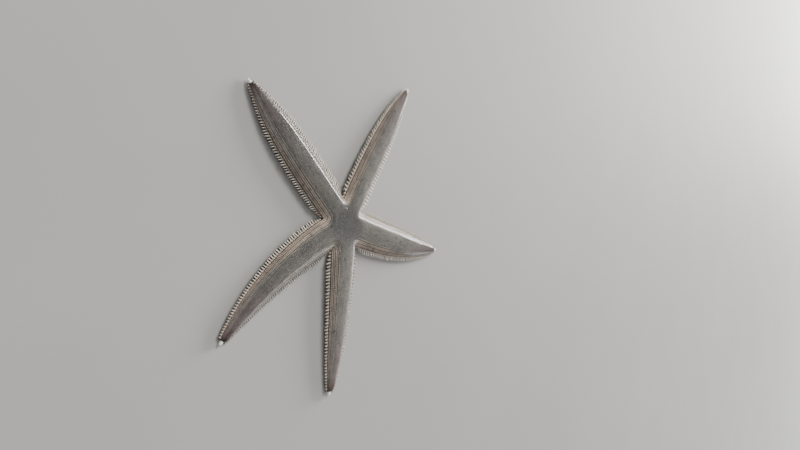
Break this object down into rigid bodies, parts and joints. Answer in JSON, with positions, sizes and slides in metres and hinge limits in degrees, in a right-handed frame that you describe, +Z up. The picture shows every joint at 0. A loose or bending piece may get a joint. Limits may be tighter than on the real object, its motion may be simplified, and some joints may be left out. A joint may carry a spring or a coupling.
{
  "type": "starfish",
  "caption": "Sand star lying flat: a small disc with long tapering arms fringed by short spines, and a grooved underside.",
  "frame": {"origin": "middle of the whole box, on the floor under the animal", "axes": "+Z up from the underside to the back; +X along the longest extent, +Y the way the near end of the picture looks away from the viewer"},
  "size_m": [0.193, 0.1744, 0.0073],
  "materials": {
    "skin": "wet grey skin of fine paxillae with brown bands",
    "plate": "wet cream limestone plates and spines",
    "mouth": "soft pale skin",
    "sieve": "finely grooved plate"
  },
  "bodies": {
    "root": {"disc": "skin", "arm_1": "skin", "arm_2": "skin", "arm_3": "skin", "arm_4": "skin", "arm_5": "skin", "arm_1_tip": "plate", "arm_2_tip": "plate", "arm_3_tip": "plate", "arm_4_tip": "plate", "arm_5_tip": "plate", "mouth": "mouth", "madreporite": "sieve"}
  },
  "joints": []
}
